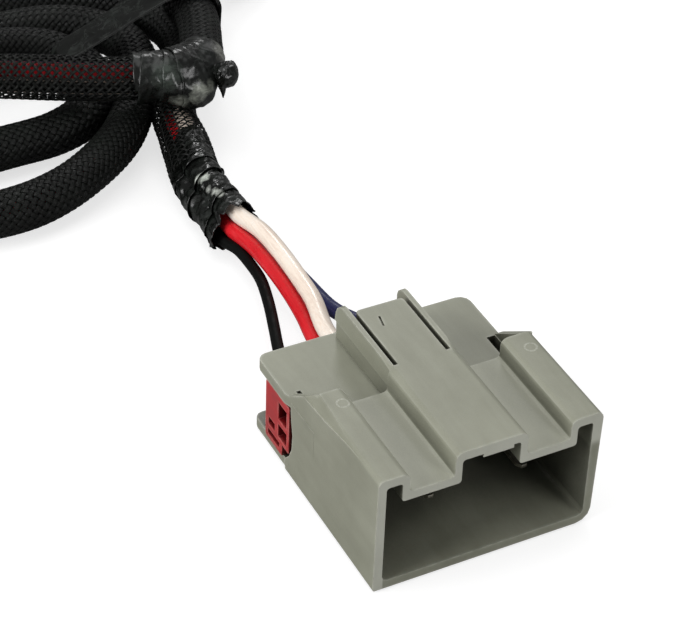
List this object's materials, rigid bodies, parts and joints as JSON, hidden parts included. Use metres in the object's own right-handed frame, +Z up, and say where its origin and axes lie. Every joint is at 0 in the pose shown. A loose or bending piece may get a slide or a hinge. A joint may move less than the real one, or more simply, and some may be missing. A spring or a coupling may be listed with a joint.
{
  "type": "trailer brake controller plug and harness",
  "caption": "Grey rectangular shroud plug with a red side lock, loose colour-coded wires, taped lead and a coiled braided sleeve ending in a small latching plug.",
  "frame": {"origin": "middle of the grey plug's flat underside, on the surface it rests on", "axes": "+Z up; -Y out of the grey plug's mouth, +Y along the wires; +X to the right when looking into the mouth"},
  "size_m": [0.1799, 0.2503, 0.0292],
  "materials": {
    "grey_plastic": "moulded grey nylon, fine satin grain",
    "red_lock_plastic": "moulded red, satin",
    "tinned_metal": "tin-plated stamped brass",
    "copper_strand": "bare stranded copper",
    "jacket_black": "extruded vinyl",
    "jacket_red": "extruded vinyl",
    "jacket_white": "extruded vinyl",
    "jacket_blue": "extruded vinyl",
    "black_tape": "crinkled glossy vinyl tape",
    "braid": "black expandable braid over red wire",
    "black_plastic": "moulded black"
  },
  "bodies": {
    "harness": {"plug_housing": "grey_plastic", "blade_black": "tinned_metal", "blade_red": "tinned_metal", "blade_white": "tinned_metal", "blade_blue": "tinned_metal", "conductor_black": "copper_strand", "conductor_red": "copper_strand", "conductor_white": "copper_strand", "conductor_blue": "copper_strand", "wire_black": "jacket_black", "wire_red": "jacket_red", "wire_white": "jacket_white", "wire_blue": "jacket_blue", "lead_tape": "black_tape", "braided_sleeve": "braid", "coil_tape": "black_tape", "tie_band": "black_tape", "sleeve_end_tape": "black_tape", "tail_wire_black": "jacket_black", "tail_wire_red": "jacket_red", "tail_wire_white": "jacket_white", "tail_wire_blue": "jacket_blue", "controller_plug_housing": "black_plastic", "socket_black": "tinned_metal", "socket_red": "tinned_metal", "socket_white": "tinned_metal", "socket_blue": "tinned_metal"},
    "tongue": {"latch_tongue": "grey_plastic"},
    "lock": {"secondary_lock": "red_lock_plastic"},
    "controller_latch": {"controller_plug_latch": "black_plastic"}
  },
  "joints": [
    {"name": "latch_tongue_flex", "type": "hinge", "parent": "harness", "child": "tongue", "pos_m": [0, 0.00206, 0.0269], "axis": [1, 0, 0], "range_deg": [-6, 0]},
    {"name": "secondary_lock_slide", "type": "slide", "parent": "harness", "child": "lock", "axis": [-1, 0, 0], "range_m": [0, 0.0025]},
    {"name": "controller_latch_flex", "type": "hinge", "parent": "harness", "child": "controller_latch", "pos_m": [0.07769, 0.20675, 0.01495], "axis": [0.5, -0.866, 0], "range_deg": [0, 6]}
  ]
}
